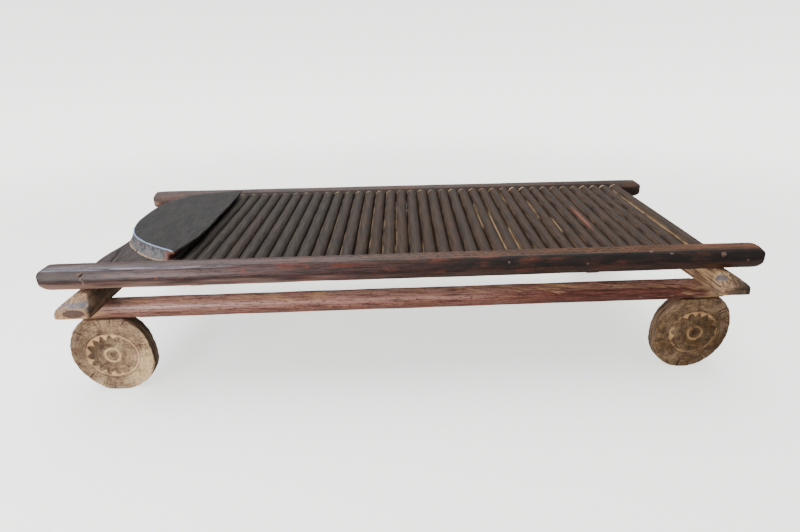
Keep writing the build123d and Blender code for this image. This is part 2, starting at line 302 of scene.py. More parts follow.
for name, disc in DISCS.items():
    hub_x, hub_z, sill_y, side, reaches, ring_at, ring_half, crisp, pale, kept, more_checks, seed = disc
    rng = np.random.default_rng(seed)
    # A smooth rim through the twelve reaches, with small uneven cuts
    waves = np.fft.rfft(reaches) / len(reaches)
    rim = sum(
        (1 if k in (0, len(reaches) // 2) else 2) * (wave * np.exp(1j * k * disc_turns)).real
        for k, wave in enumerate(waves)
    ) - 0.6
    rim = rim + 0.8 * np.sin(23 * disc_turns + seed) * np.sin(7 * disc_turns)
    radius = shares * (rim - DISC_ROUND) + outs
    x, z = radius * np.cos(disc_turns), radius * np.sin(disc_turns)
    spot = places(x, backs, z)
    # The teeth point in; away from their best kept side they are worn thin
    ring_turn = np.arctan2(z - ring_at[1], x - ring_at[0])
    from_ring = np.hypot(x - ring_at[0], z - ring_at[1])
    ring_out = 1 / np.sqrt((np.cos(ring_turn) / ring_half[0]) ** 2 + (np.sin(ring_turn) / ring_half[1]) ** 2)
    worn = 0.1 + 0.9 * step(np.cos(ring_turn - radians(kept)), -0.6, 0.2)
    worn = np.clip(worn * crisp + 0.5 * (1 - crisp) * wander(rng, spot, (50, 50, 50)), 0.05, 1)
    swing = np.abs((ring_turn * TEETH / (2 * pi) + 0.12 * wander(rng, spot, (90, 90, 90))) % 1 * 2 - 1)
    ring_in = ring_out - BAND - TOOTH * worn * np.clip(1.2 * swing - 0.2, 0, 1)
    band = step(from_ring, ring_in - 1.4, ring_in + 1.4) * step(from_ring, ring_out + 1.5, ring_out - 1.5)
    star = step(from_ring, ring_in + 1.4, ring_in - 1.4) * step(radius, HUB_OUT - 1, HUB_OUT + 2)
    groove = step(np.abs(from_ring - ring_out - 3.2), 2.6, 0.5)
    hub_ring = step(radius, HUB_IN - 1, HUB_IN + 1.5) * step(radius, HUB_OUT + 1.5, HUB_OUT - 1)
    hub_hole = step(radius, HUB_IN + 1, HUB_IN - 2)
    pit = step(radius, PIT + 1.5, PIT - 1.5)
    fade = np.clip(0.75 + 0.5 * wander(rng, spot, (45, 45, 45)), 0.25, 1) * (0.45 + 0.55 * crisp)
    relief = 0.9 * band * worn - 2.0 * star * worn - 1.3 * groove * fade + 1.0 * hub_ring - 1.6 * hub_hole
    relief = relief - 2.6 * pit
    checks = 0
    for k in range(CHECKS + more_checks):
        turn = rng.uniform(0, 2 * pi) if k < CHECKS else rng.uniform(-0.75, 0.6)
        inner = rng.uniform(*CHECK_IN)
        drift = (disc_turns - turn - 0.0012 * (radius - 100) * rng.normal() + pi) % (2 * pi) - pi
        opening = step(np.abs(drift) * radius, 2.7, 0.9) * step(radius, inner, inner + 14)
        checks = np.maximum(checks, opening * rng.uniform(0.5, 1))
    dents = wander(rng, spot, (26, 26, 26)) * 0.8 + wander(rng, spot, (9, 9, 9)) * 0.3
    rise = front_face * (relief + dents - 2.2 * checks) - 1.3
    back_dents = (1 - front_face) * step(backs, DISC_THICK - 1, DISC_THICK)
    inward = backs - np.minimum(rise, 0) - back_dents * (1.0 + 0.8 * wander(rng, spot, (24, 24, 24)))
    inward = np.clip(inward, 0.05, DISC_THICK - 0.05)
    # Painted shade darkens a disc's face on its side away from the bed's middle; at the head the other side
    # is lighter
    at_head = hub_x < 0
    lighter_side = 0.45 * at_head * step(radius * np.cos(disc_turns + 0.3), 40, 105)
    light = pale + 0.2 * wander(rng, spot, (70, 70, 70)) + lighter_side
    side_shade = (0.42 if at_head else -0.4) * -np.cos(disc_turns + 0.4) * shares
    dark = 0.46 * star * np.sqrt(worn) + 0.4 * groove * fade + 0.95 * checks + 0.45 * hub_hole + 0.35 * pit
    points = places(
        hub_x + x, sill_y + side * (DISC_FACE_OUT - inward), np.clip(hub_z + z, 0.0, DISC_TOP))
    skin(
        name + "_carved", points, disc_wood, "disc_wood", name,
        reach=radius * MM, tone=np.clip(light, 0, 1), face=grain_side,
        raw=front_face * np.clip(band * (0.6 + 0.4 * worn) * fade * 1.2 + hub_ring * 0.8 * fade, 0, 1),
        deep=front_face * np.clip(dark + side_shade, 0, 1),
    )

# ---------------------------------------------------------------------------
# Lower rails. Two thin poles, one along each side, that lie on the discs and
# carry the cross beams. They are hewn flat above and rubbed to a half gloss,
# with bare wood where the beams and discs are let in.

# Below this cosine a face counts as turned away, so that it cuts nothing off
LEAST_FACING = 0.02
TIP_RUN, TIP_STATIONS = 46, 30
POLE_END_RINGS = 9


def soft_least(reaches, soft):
    """The least of several reaches, with the edges between them rounded by about soft millimetres."""
    reaches = np.broadcast_arrays(*reaches)
    shortest = np.min(reaches, axis=0)
    return shortest - soft * np.log(sum(np.exp(-(reach - shortest) / soft) for reach in reaches))


def pole(rng, stations, angles, thick, flats, limits):
    """A hewn pole along X: station and turn of each point, its distance from the centre line, and its spot
    for unevenness. flats are (turn, distance at the head end, at the foot end); limits gives the
    greatest reach up, down and sideways at x."""
    x, turn = stations[:, None], angles[None, :]
    along = (x - stations[0]) / (stations[-1] - stations[0])
    up, out = np.sin(turn), np.cos(turn)
    spot = places(x, thick[0] * out, thick[0] * up)
    reaches = [thick[0] + (thick[1] - thick[0]) * along]
    for flat_turn, head_at, foot_at in flats:
        facing = np.cos(turn - radians(flat_turn))
        reaches.append((head_at + (foot_at - head_at) * along) / np.maximum(facing, 0.25))
    high, low, wide = limits(x)
    for limit, facing in ((high, up), (low, -up), (wide, np.abs(out))):
        reaches.append(limit / np.maximum(facing, LEAST_FACING))
    from_tip = np.minimum(x - stations[0], stations[-1] - x)
    radius = soft_least(reaches, 1.2 + 1.3 * step(from_tip, 55, 8))
    lumps = wander(rng, spot, (170, 40, 40)) * 0.55 + wander(rng, spot, (40, 14, 14)) * 0.18
    return x, turn, radius - 0.35 + np.minimum(lumps - 0.35, 0), spot


def scratched(rng, x, arc, count, levels, lean, length, width):
    """Thin straight scratches; x and arc are distances along and round the pole, levels the arcs they
    start from, lean the mean and spread of their slope, and length half their run."""
    marks = 0
    for _ in range(count):
        u = x - rng.uniform(-1000, 1000)
        v = arc - rng.uniform(*levels)
        slope, half = rng.normal(*lean), rng.uniform(*length)
        beside = np.abs(v - slope * u) / np.sqrt(1 + slope ** 2)
        marks = np.maximum(marks, step(beside, width, width * 0.3) * step(np.abs(u), half, half * 0.6))
    return marks


def closed_ends(rings, count):
    """The rings, and at each end more of them that shrink to the middle and make the end face."""
    shares = np.linspace(0.94, 0.06, count)[:, None, None]
    ends = []
    for ring in (rings[0], rings[-1]):
        middle = (ring.min(0) + ring.max(0)) / 2
        ends.append(middle + (ring - middle) * shares)
    return np.concatenate([ends[0][::-1], rings, ends[1]])


def from_rim(stations, count):
    """How far in from the rim each ring of closed_ends lies: 0 along the pole, nearly 1 in the middle."""
    inner = np.linspace(0.06, 0.94, count)
    return np.concatenate([inner[::-1], 0 * stations, inner])[:, None]


def tipped(head, foot, middle):
    """Stations along a pole, close together at the tips and middle apart between them."""
    near = np.linspace(0, TIP_RUN, TIP_STATIONS)
    between = np.arange(head + TIP_RUN + 1.6, foot - TIP_RUN, middle)
    return np.concatenate([head + near, between, foot - near[::-1]])


lower_rail_wood = Finish("rubbed_lower_rail")
bare, shadow, tone, scuff, dusk, cut_end, ridge = lower_rail_wood.layers(
    "bare", "deep", "tone", "scuff", "dusk", "end", "ridge")
streak = lower_rail_wood.grain((90, 3.5, 3.5), 5, 0.68)
patch = lower_rail_wood.grain((150, 28, 28), 3, 0.5, 3.0)
fleck = lower_rail_wood.grain((14, 4, 4), 4, 0.7, 1.0)
rail_red = lower_rail_wood.coats(
    lower_rail_wood.blend(paint(70, 38, 32), paint(178, 122, 104), streak.between(0.36, 0.6)),
    (paint(150, 104, 78), patch.between(0.42, 0.7) * 0.5),
    # Paler over the upper facet and along the ridge, painted light and a painted highlight; paler towards
    # the head too
    (paint(200, 156, 142), tone * 0.72 * streak.between(0.3, 0.58)),
    # Painted shade on the lower flank, redder and darker towards the foot, with dark streaks
    (paint(124, 62, 48), dusk * 0.75),
    (paint(40, 20, 12), dusk * streak.between(0.64, 0.34) * 0.8),
    (paint(40, 22, 16), fleck.between(0.53, 0.66) * 0.75),
    (paint(216, 172, 126), scuff * 0.85),
    (paint(196, 158, 118), bare * streak.between(0.2, 0.6)),
    (paint(120, 92, 68), cut_end),
    (paint(26, 17, 13), shadow),
)
lower_rail_wood.done(
    rail_red, (0.52 - ridge * 0.28 + bare * 0.3 + streak * 0.12).at_most(0.95),
    streak * 0.7 + fleck * 0.3, 1.1, specular=0.5,
)

SILL_HALF, SILL_Z, SILL_R = 1000, 274.5, 33.5
# The middle's y, the side and the seed
SILLS = {"front_lower_rail": (FRONT_SILL_Y, -1, 21), "back_lower_rail": (BACK_SILL_Y, 1, 22)}
SILL_FLATS = [(62, 30.6, 31.4), (18, 32.4, 32.8), (-32, 32.2, 33.0), (130, 31, 31)]
BEAM_UNDER, BEAM_FROM = 306, 897
FOOT_FROM = 830
# A limit that lies clear of the wood
UNCUT = 90
# Dents, as x and turn in degrees
SILL_DENTS = ((-560, 30), (-248, -12), (-204, -9), (-32, -15), (330, 25), (728, -25), (828, -20))
sill_angles = np.linspace(-pi, pi, 84, endpoint=False)


def sill_limits(x):
    """The notches under the beams and over the discs, and the rounded tips."""
    under_beam = step(np.abs(x), BEAM_FROM - 2, BEAM_FROM)
    over_foot = step(np.abs(x), FOOT_FROM - 2, FOOT_FROM)
    high = UNCUT - (UNCUT - (BEAM_UNDER - SILL_Z - 0.2)) * under_beam
    low = UNCUT - (UNCUT - (SILL_Z - DISC_TOP - 0.2)) * over_foot
    from_tip = SILL_HALF - np.abs(x)
    return high, low, SILL_R + 1.5 - np.maximum(5 - from_tip, 0)


for name, (mid_y, side, seed) in SILLS.items():
    rng = np.random.default_rng(seed)
    stations = tipped(-SILL_HALF, SILL_HALF, 4.0)
    x, turn, radius, spot = pole(
        rng, stations, sill_angles, (SILL_R - 0.6, SILL_R + 0.4), SILL_FLATS, sill_limits)
    dents = 0
    for at, level in SILL_DENTS:
        near = np.hypot((x - at) * 0.55, (turn - radians(level)) * SILL_R)
        dents = np.maximum(dents, step(near, 4.2, 1.5))
    marks = scratched(rng, x, turn * SILL_R, 120, (22, 58), (-0.15, 0.09), (16, 60), 2.3)
    marks = marks * step(wander(rng, spot, (140, 30, 30)), -0.6, 0.4)
    radius = radius - 1.2 * dents - 0.4 * marks
    fray = wander(rng, spot, (50, 9, 9)) * 28
    bare = step(x - fray, -900, -950) + step(x - fray, 890, 950) + 0.9 * dents * (turn < 0)
    # A polished ridge along the outer side with a painted highlight, palest at the middle of the bed, and
    # painted light on the upper facet; below the ridge painted shade darkens the flank towards the foot
    degrees = np.degrees(turn)
    ridge = np.exp(-((degrees - 25) / 12) ** 2) * (0.1 + 0.9 * step(x, 480, 200))
    top = (0.55 + 0.35 * step(np.abs(x), 320, 160)) * step(turn, 0.5, 0.8) * step(turn, 1.9, 1.5)
    crest = np.exp(-((degrees - 22) / 9) ** 2) * (step(x, 340, 160) + 0.4 * step(np.abs(x), 260, 120))
    below = 0.9 * step(x, 230, 480) + 0.5 * step(x, 560, 680) * step(turn, -0.15, 0.1)
    below = below + 0.3 * step(turn, 0.15, -0.2) * (x < 260)
    points = places(x, mid_y + side * radius * np.cos(turn), SILL_Z + radius * np.sin(turn))
    skin(
        name + "_pole", closed_ends(points, POLE_END_RINGS), lower_rail_wood, "lower_rail_wood", name,
        bare=np.clip(bare, 0, 1), end=from_rim(stations, POLE_END_RINGS), deep=dents * 0.25, scuff=marks,
        ridge=ridge, tone=np.clip(0.6 * step(x, 500, -900) + top + 0.9 * crest, 0, 1.35),
        dusk=step(turn, 0.75, 0.5) * np.clip(below, 0, 1),
    )

# ---------------------------------------------------------------------------
# Cross beams. Two split logs, flat side down, laid across the lower rails at the
# head and the foot. The ends are bevelled with an adze; the wood is dry and
# unpolished, with the dark heart showing in the end grain.

beam_wood = Finish("adzed_beam")
heart, end_face, polish, dim, pale = beam_wood.layers("heart", "end", "polish", "deep", "pale")
strip = beam_wood.grain((6, 90, 6), 5, 0.62)
mottle = beam_wood.grain((26, 34, 26), 4, 0.65, 2.0)
nick = beam_wood.grain((4, 9, 4), 4, 0.75, 5.0)
beam_colour = beam_wood.coats(
    beam_wood.blend(paint(94, 70, 50), paint(204, 166, 132), strip.between(0.36, 0.62)),
    (paint(250, 208, 156), pale * strip.between(0.34, 0.6)),
    (paint(136, 110, 84), mottle.between(0.4, 0.66) * 0.8),
    (paint(62, 48, 38), nick.between(0.57, 0.74) * 0.7),
    (paint(106, 102, 106), polish * mottle.between(0.3, 0.5)),
    (paint(196, 160, 122), (end_face - heart).at_least(0.0) * mottle.between(0.3, 0.6) * 0.8),
    (paint(92, 72, 62), heart * 0.9),
    # Painted shade on the head beam's inner side and on the foot beam's nose, edges and end face
    (paint(50, 42, 38), dim),
)
beam_wood.done(
    beam_colour, 0.82 - polish * 0.3, strip * 0.5 + mottle * 0.3 + nick * 0.3, 2.0, specular=0.35,
)

BEAM_MID, BEAM_CORE_Z = 952, 322
BEAM_HALF, BEAM_TOP = 505, 369
BEAM_INNER, BEAM_OUTER = 905, 1012
BEAM_END_RINGS = 12
RAIL_Y = 424
# The section's flats round its core: (turn in degrees, distance)
BEAM_FLATS = [
    (-90, BEAM_CORE_Z - BEAM_UNDER), (180, BEAM_MID - BEAM_INNER), (90, BEAM_TOP - BEAM_CORE_Z),
    (0, BEAM_OUTER - BEAM_MID), (33, 46), (56, 39.5), (144, 50),
]
# Which end; the bevel's height at the tip, its length and its curve; how far the outer corner is
# rounded and the underside lifts at the tip; how dark the heart is; and the seed
BEAMS = {
    "head_cross_beam": (-1, 33, 42, 1.0, 16, 0.0, 1.0, 31),
    "foot_cross_beam": (1, 22, 50, 0.62, 26, 7.0, 0.6, 32),
}
beam_turns = np.concatenate([np.linspace(-20, 200, 130), np.linspace(202, 338, 50)])
near = np.linspace(0, 48, 34)
between = np.arange(-453, 454, 6)
stations = np.concatenate([near - BEAM_HALF, between, BEAM_HALF - near[::-1]])

for name, (end, nose, taper, curve, outer_round, lift, heart_share, seed) in BEAMS.items():
    rng = np.random.default_rng(seed)
    at_head, at_foot = float(end < 0), float(end > 0)
    y, turn = stations[:, None], np.radians(beam_turns)[None, :]
    up, out = np.sin(turn), np.cos(turn)
    from_tip = BEAM_HALF - np.abs(y)
    slope = BEAM_UNDER + nose + (BEAM_TOP - BEAM_UNDER - nose) * np.clip(from_tip / taper, 0, 1) ** curve
    under = BEAM_CORE_Z - BEAM_UNDER - lift * np.clip(1 - from_tip / 12, 0, 1) ** 2
    faces = [(at, np.cos(turn - radians(flat))) for flat, at in BEAM_FLATS]
    faces += [(slope - BEAM_CORE_Z, up), (under, -up)]
    for corner, at, facing in ((outer_round, BEAM_OUTER - BEAM_MID, out), (10, BEAM_MID - BEAM_INNER, -out)):
        into = np.clip(corner - from_tip, 0, corner)
        faces.append((at - (corner - np.sqrt(corner ** 2 - into ** 2)), facing))
    radius = soft_least([at / np.maximum(facing, LEAST_FACING) for at, facing in faces], 1.8)
    spot = places(45 * out, y, 30 * up)
    chips = wander(rng, spot, (26, 60, 26)) + wander(rng, spot, (9, 22, 9)) * 0.45
    # Under the side rails and on the lower rails the faces are left flat
    seated = step(up, 0.7, 0.9) * step(np.abs(np.abs(y) - RAIL_Y), 30, 20) + step(-up, 0.2, 0.5)
    radius = radius - 0.2 + np.minimum(chips - 0.5, 0) * (1 - np.clip(seated, 0, 1))
    points = places(end * (BEAM_MID + radius * out), y, BEAM_CORE_Z + radius * up)
    rings = closed_ends(points, BEAM_END_RINGS)
    inner = from_rim(stations, BEAM_END_RINGS)
    on_end = step(inner, -0.2, 0.05)
    across, rise = (end * rings[..., 0] - BEAM_MID + 2) / 31, (rings[..., 2] - BEAM_CORE_Z - 1) / 12.5
    glaze = wander(rng, spot, (30, 40, 30))
    handled = at_head * step(from_tip, 24, 13) * step(from_tip, -1, 1) * step(up, 0.05, 0.3)
    smear = at_foot * step(np.hypot((from_tip - 32) / 15, (out + 0.66) / 0.3), 1.2, 0.5) * (y < 0) * (up > 0)
    # Painted shade on the head beam's inner side, on the foot beam's nose and on both outer edges, and on
    # the outer part of the foot beam's end face
    inner_side = 0.42 * at_head * step(-out, 0.45, 0.85) * step(glaze, -1.6, 0.2)
    nose_side = 0.26 * at_foot * step(out, -0.6, 0.1) * step(from_tip, 46, 16)
    outer_side = (0.2 + 0.02 * at_foot) * step(out, 0.55, 0.85) * step(from_tip, 40, 12)
    outer_side = outer_side * step(glaze, -1.8, 0.0)
    painted_shade = spread(np.clip(inner_side + nose_side + outer_side, 0, 1), BEAM_END_RINGS) * step(inner, 0.1, 0.0)
    skin(
        name + "_log", rings, beam_wood, "beam_wood", name,
        end=spread(step(from_tip, 3, 0), BEAM_END_RINGS) * on_end,
        heart=heart_share * step(across ** 2 + rise ** 2, 1.15, 0.8) * on_end,
        polish=np.clip(handled + 0.9 * smear, 0, 1),
        pale=0.9 * at_foot * step(up, 0.1, 0.6) * step(from_tip, 240, 150) * step(from_tip, 24, 50),
        deep=painted_shade + 0.5 * at_foot * step(across, -0.7, 0.6) * on_end,
    )

# ---------------------------------------------------------------------------
# Side rails. The two stout poles that hold the deck: rounded at the tips, with
# one flat hewn down the inner side and a mortise for every stick. Hands have
# rubbed them dark and glossy. Two rows of zigzag are cut along the front rail.
# Painted shade blackens the mortises and darkens the front rail's underside and
# the back rail's inner face below the top; a glint is painted along each rail
# near the head end.

side_rail_wood = Finish("rubbed_side_rail")
carved, band_tone, worn_red, dark_face, bare, deep, at_foot, shine = side_rail_wood.layers(
    "carved", "band", "red", "dark", "bare", "deep", "foot", "shine")
streak = side_rail_wood.grain((100, 3.4, 3.4), 5, 0.7)
patch = side_rail_wood.grain((90, 22, 22), 4, 0.6, 4.0)
fleck = side_rail_wood.grain((12, 4, 4), 4, 0.7, 2.0)
head_wood = side_rail_wood.blend(paint(32, 23, 24), paint(98, 70, 67), streak.between(0.36, 0.64))
foot_wood = side_rail_wood.blend(paint(32, 20, 14), paint(92, 56, 38), streak.between(0.36, 0.64))
top_band = side_rail_wood.blend(paint(54, 31, 18), paint(122, 76, 42), streak.between(0.36, 0.64))
rail_colour = side_rail_wood.coats(
    side_rail_wood.blend(head_wood, foot_wood, at_foot),
    (paint(116, 58, 44), (patch.between(0.5, 0.68) * worn_red + worn_red.between(1.0, 2.0)).at_most(0.9)),
    (paint(18, 14, 11), (dark_face * patch.between(0.8, 0.4)).at_most(0.95)),
    (top_band, band_tone),
    (paint(120, 86, 64), carved * (0.1 + streak * 0.45)),
    (paint(26, 16, 13), fleck.between(0.52, 0.66) * 0.7),
    (paint(178, 146, 130), (bare * (0.25 + streak * 1.4)).at_most(0.9)),
    # A painted glint along each rail near the head end
    (paint(176, 174, 188), shine * streak.between(0.36, 0.6) * 0.6),
    # Painted shade in the mortises and on the back rail's inner face; the zigzag's cut ground is darker
    (paint(12, 9, 7), deep),
)
rail_roughness = (
    0.27 - shine * 0.15 + band_tone * 0.3 + at_foot * 0.05 + dark_face * 0.16
    + streak * 0.22 + bare * 0.3 + deep * 0.3
)
side_rail_wood.done(
    rail_colour, rail_roughness.at_most(0.95), streak * 0.6 + fleck * 0.35 + patch * 0.3, 0.8, specular=0.5,
)

RAIL_SEAT = BEAM_TOP
RAIL_BEAM_FROM, RAIL_BEAM_TO = 900, 1017
RAIL_TIP_ROUND, RAIL_UNCUT = 16, 46
SLAT_Z = 398
MORTISE_Y, MORTISE_Z, MORTISE_R, MORTISE_DEEP = 387, 400.2, 11, 13
# The sticks lie this much higher at the back rail
SLAT_RISE = 11
SLATS = 37
# Where the sticks' shoulders meet the rails, front and back; the first stick and the end bar there;
# and the sticks' pitch
SHOULDERS = (-385, 387)
SPAN = SHOULDERS[1] - SHOULDERS[0]
FIRST_X, LAST_X = (-677, -654), (909, 954)
FRONT_PITCH, BACK_PITCH = 43.6, 44.6


def slat_x(index, y):
    """Where a stick crosses a line along the bed; the sticks fan out a little, and the last one more."""
    front, back = FIRST_X[0] + FRONT_PITCH * index, FIRST_X[1] + BACK_PITCH * index
    if index == SLATS - 1:
        front, back = LAST_X
    return front + (back - front) * (y - SHOULDERS[0]) / SPAN


# Side, height, thickness at head and foot, flats, tips' outlines seen from the side, station pitch, seed
SIDE_RAILS = {
    "front_side_rail": (
        -1, 406, (40, 38.5), [(125, 33, 38), (88, 38.6, 37.6), (22, 38.8, 37.6), (-28, 39, 37.6)],
        [(-1057, 8), (-1055, 17), (-1050, 25), (-1020, 46), (1020, 46), (1042, 34), (1053, 20), (1056, 8)],
        [(-1057, 6), (-1053, 17), (-1046, 29), (-1028, 46), (1034, 46), (1048, 31), (1054, 18), (1056, 8)],
        1.7, 41),
    "back_side_rail": (
        1, 404, (37, 36.5), [(125, 31.5, 31.5), (60, 35.6, 35.4), (10, 36, 35.6)],
        [(-1048, 15), (-1044, 26), (-1033, 42), (1050, 42), (1077, 23), (1082, 16)],
        [(-1048, 15), (-1044, 24), (-1026, 42), (1064, 42), (1078, 26), (1082, 16)],
        2.2, 42),
}
# Rows of zigzag, a wide one beside the sticks and a narrow one along the ridge: turn in degrees,
# half the swing, and the period
ZIGZAGS = ((99, 8.5, 40), (68, 6.2, 27))
# Nicks down to bare wood, and small spots where red wood shows, as x and turn in degrees
NICKS = ((1000, -3), (284, 21), (516, 3), (768, 39), (708, 51))
RED_SPOTS = ((-864, 18), (-724, 0), (-480, 20), (-300, 30))
CRACK_X = -930

for name, (side, mid_z, thick, flats, top_tips, under_tips, pitch, seed) in SIDE_RAILS.items():
    rng = np.random.default_rng(seed)
    head, foot = top_tips[0][0], top_tips[-1][0]
    # Points lie close together where the band is carved and where the mortises are
    fine = np.linspace(-180, 180, 721)
    weight = 1 + 2.4 * step(fine, 30, 42) * step(fine, 128, 118) * (side < 0)
    weight = weight + 1.2 * step(np.abs(np.abs(fine) - 180), 34, 22)
    run = np.concatenate([[0], np.cumsum((weight[1:] + weight[:-1]) / 2)])
    angles = np.radians(np.interp(np.linspace(0, run[-1], 133)[:-1], run, fine))
    stations = tipped(head, foot, pitch)

    def rail_limits(x):
        """The tips' outlines, and the flats where the rail sits on the beams."""
        high = np.interp(x, *np.array(top_tips).T)
        low = np.interp(x, *np.array(under_tips).T)
        seated = step(np.abs(x), RAIL_BEAM_FROM - 2, RAIL_BEAM_FROM + 1)
        seated = seated * step(np.abs(x), RAIL_BEAM_TO + 2, RAIL_BEAM_TO - 1)
        low = np.minimum(low, RAIL_UNCUT - (RAIL_UNCUT - (mid_z - RAIL_SEAT)) * seated)
        into = np.clip(RAIL_TIP_ROUND - np.minimum(x - head, foot - x), 0, RAIL_TIP_ROUND)
        return high, low, thick[0] + 2 - (RAIL_TIP_ROUND - np.sqrt(RAIL_TIP_ROUND ** 2 - into ** 2))

    x, turn, radius, spot = pole(rng, stations, angles, thick, flats, rail_limits)
    degrees, arc = np.degrees(turn), turn * thick[0]
    height = radius * np.sin(turn) + mid_z
    mortises = 0
    for index in range(SLATS):
        off = np.hypot(x - slat_x(index, side * MORTISE_Y), height - MORTISE_Z - SLAT_RISE * (side > 0))
        mortises = np.maximum(mortises, step(off, MORTISE_R + 1.2, MORTISE_R - 1.6) * (np.cos(turn) < -0.3))
    radius = radius - MORTISE_DEEP * mortises
    if side < 0:
        # The zigzag starts past the headrest, is crispest beyond the middle and worn away at the foot
        jog = 5 * wander(rng, spot, (190, 400, 400))
        fresh = step(x, -560, 60) * 0.6 + 0.3 * step(x, -640, -480)
        fresh = (fresh + 0.35 * step(x, -40, 30)) * step(x, 850, 640)
        fresh = np.clip(fresh * (1 + 0.4 * wander(rng, spot, (60, 20, 20))), 0, 1)
        lines, ground = 0, 0
        for level, swing, period in ZIGZAGS:
            from_centre = arc - radians(level) * thick[0]
            wave = np.abs(((x + jog) / period) % 1 * 2 - 1) * 2 - 1
            slope = 4 * swing / period
            off = np.abs(from_centre - swing * wave) / np.sqrt(1 + slope ** 2)
            in_band = step(np.abs(from_centre), swing + 4.5, swing + 2)
            lines = np.maximum(lines, step(off, 2.5, 1.1) * in_band)
            ground = np.maximum(ground, in_band)
        cut = ground * (1 - lines) * fresh
        scratches = scratched(rng, x, arc, 70, (-42, 76), (0, 0.6), (5, 24), 1.3)
        band = step(degrees, 50, 60) * step(degrees, 150, 130) * step(x, -350, 700)
        dark = step(x, -250, 350) + 0.8 * step(x, -780, -960)
        dark = dark * step(degrees, 54, 46) * step(degrees, -16, 2)
        # Painted shade darkens the underside towards the foot
        dark = dark + 0.55 * step(degrees, -28, -70) * step(x, -500, 200)
        nicks = 0
        for at, level in NICKS:
            near = np.hypot((x - at) * rng.uniform(0.4, 0.9), arc - radians(level) * thick[0])
            nicks = np.maximum(nicks, step(near, 3.6, 1.2))
        red = 0.75 * step(x, -900, -100) * step(x, 900, 300)
        for at, level in RED_SPOTS:
            near = np.hypot((x - at) * 0.6, arc - radians(level) * thick[0])
            red = np.maximum(red, 2.4 * step(near, 6, 2))
        # A split below the peg at the head end
        split = np.abs(x - CRACK_X + 3 * np.sin(turn * 9) + 2 * np.sin(turn * 23))
        crack = step(split, 1.8, 0.5) * step(degrees, -30, -20) * step(degrees, 26, 18)
        radius = radius - 1.0 * cut - 0.4 * scratches - 1.0 * crack - 0.7 * nicks
        # Paler low on the front face, most in the head half
        paler_under = step(degrees, -6, -24) * step(degrees, -62, -44)
        paler_under = paler_under * (0.25 * step(x, 420, 0) + step(x, -130, -330))
        paler_under = paler_under * np.clip(0.6 + 0.6 * wander(rng, spot, (160, 30, 30)), 0, 1)
        worn_edge = step(np.abs(degrees + 50), 6, 3) * step(x, -60, -300)
        carving = lines * fresh + 0.35 * scratches
        bare = np.clip(0.8 * crack + 0.5 * nicks + 0.5 * paler_under + 0.6 * worn_edge, 0, 1)
        # Painted shade blackens the mortises; the zigzag's cut ground is darker
        deep = 0.32 * cut + 0.95 * mortises
    else:
        carving = 0.0
        band = 0.3 * step(np.abs(degrees), 100, 130)
        dark = 0.25 + 0.6 * step(x, 500, 950) + 0.3 * step(np.abs(degrees), 150, 165)
        red = 0.2
        bare = 0.75 * step(x, -1010, -1042) * step(np.abs(degrees), 140, 165) * step(height, 412, 396)
        shade = 0.7 * step(degrees, 116, 132) * step(x, -700, -660) * step(x, 960, 930)
        # Painted shade blackens the mortises and the inner face below the top
        deep = np.maximum(0.97 * mortises, shade)
    # A bluish glint painted along each rail near the head end, 44 degrees up its outer side
    shine = np.exp(-((degrees - 44) / 4.5) ** 2) * step(x, -460, -620) * step(x, -1050, -1030)
    points = places(x, side * (RAIL_Y + radius * np.cos(turn)), mid_z + radius * np.sin(turn))
    skin(
        name + "_pole", closed_ends(points, POLE_END_RINGS), side_rail_wood, "side_rail_wood", name,
        carved=carving, band=np.clip(band, 0, 1), red=red, dark=np.clip(dark, 0, 1), bare=bare,
        deep=np.clip(deep, 0, 1), foot=step(x, -500, 500), shine=shine,
    )

# ---------------------------------------------------------------------------
# Head board. A plank across the head end, let into the side rails and pegged to
# the headrest. Brown, dry and split along the grain at the front corner.

head_board_wood = Finish("split_head_board")
crack, corner = head_board_wood.layers("deep", "corner")
strip = head_board_wood.grain((7, 110, 7), 5, 0.62)
mottle = head_board_wood.grain((28, 45, 28), 4, 0.6, 2.0)
board_colour = head_board_wood.coats(
    head_board_wood.blend(paint(27, 21, 20), paint(80, 65, 60), strip.between(0.36, 0.64)),
    (paint(66, 59, 59), mottle.between(0.4, 0.68) * 0.7),
    (paint(134, 90, 70), corner * 0.8),
    (paint(14, 11, 10), crack),
)
head_board_wood.done(board_colour, 0.6 + strip * 0.25, strip * 0.8 + mottle * 0.4, 1.8, specular=0.45)

BOARD_Y, BOARD_BASE, BOARD_TOP = (-404, 407), 396, 428
BOARD_OUTER, BOARD_INNER = -914, (-701, -679)
BOARD_SPLIT_DEEP = 5
BOARD_END_RINGS = 4
# Splits along the grain, each from x, y to x, y, and half its width
SPLITS = (
    (-882, -385, -899, -270, 4.2), (-868, -398, -862, -330, 1.3),
    (-842, -402, -846, -352, 1.0), (-902, -300, -899, -230, 0.9),
)
rng = np.random.default_rng(51)
stations = np.concatenate([np.arange(BOARD_Y[0], -150, 2.5), np.arange(-150, BOARD_Y[1] + 1, 9.0)])
stations[-1] = BOARD_Y[1]
y = stations[:, None]
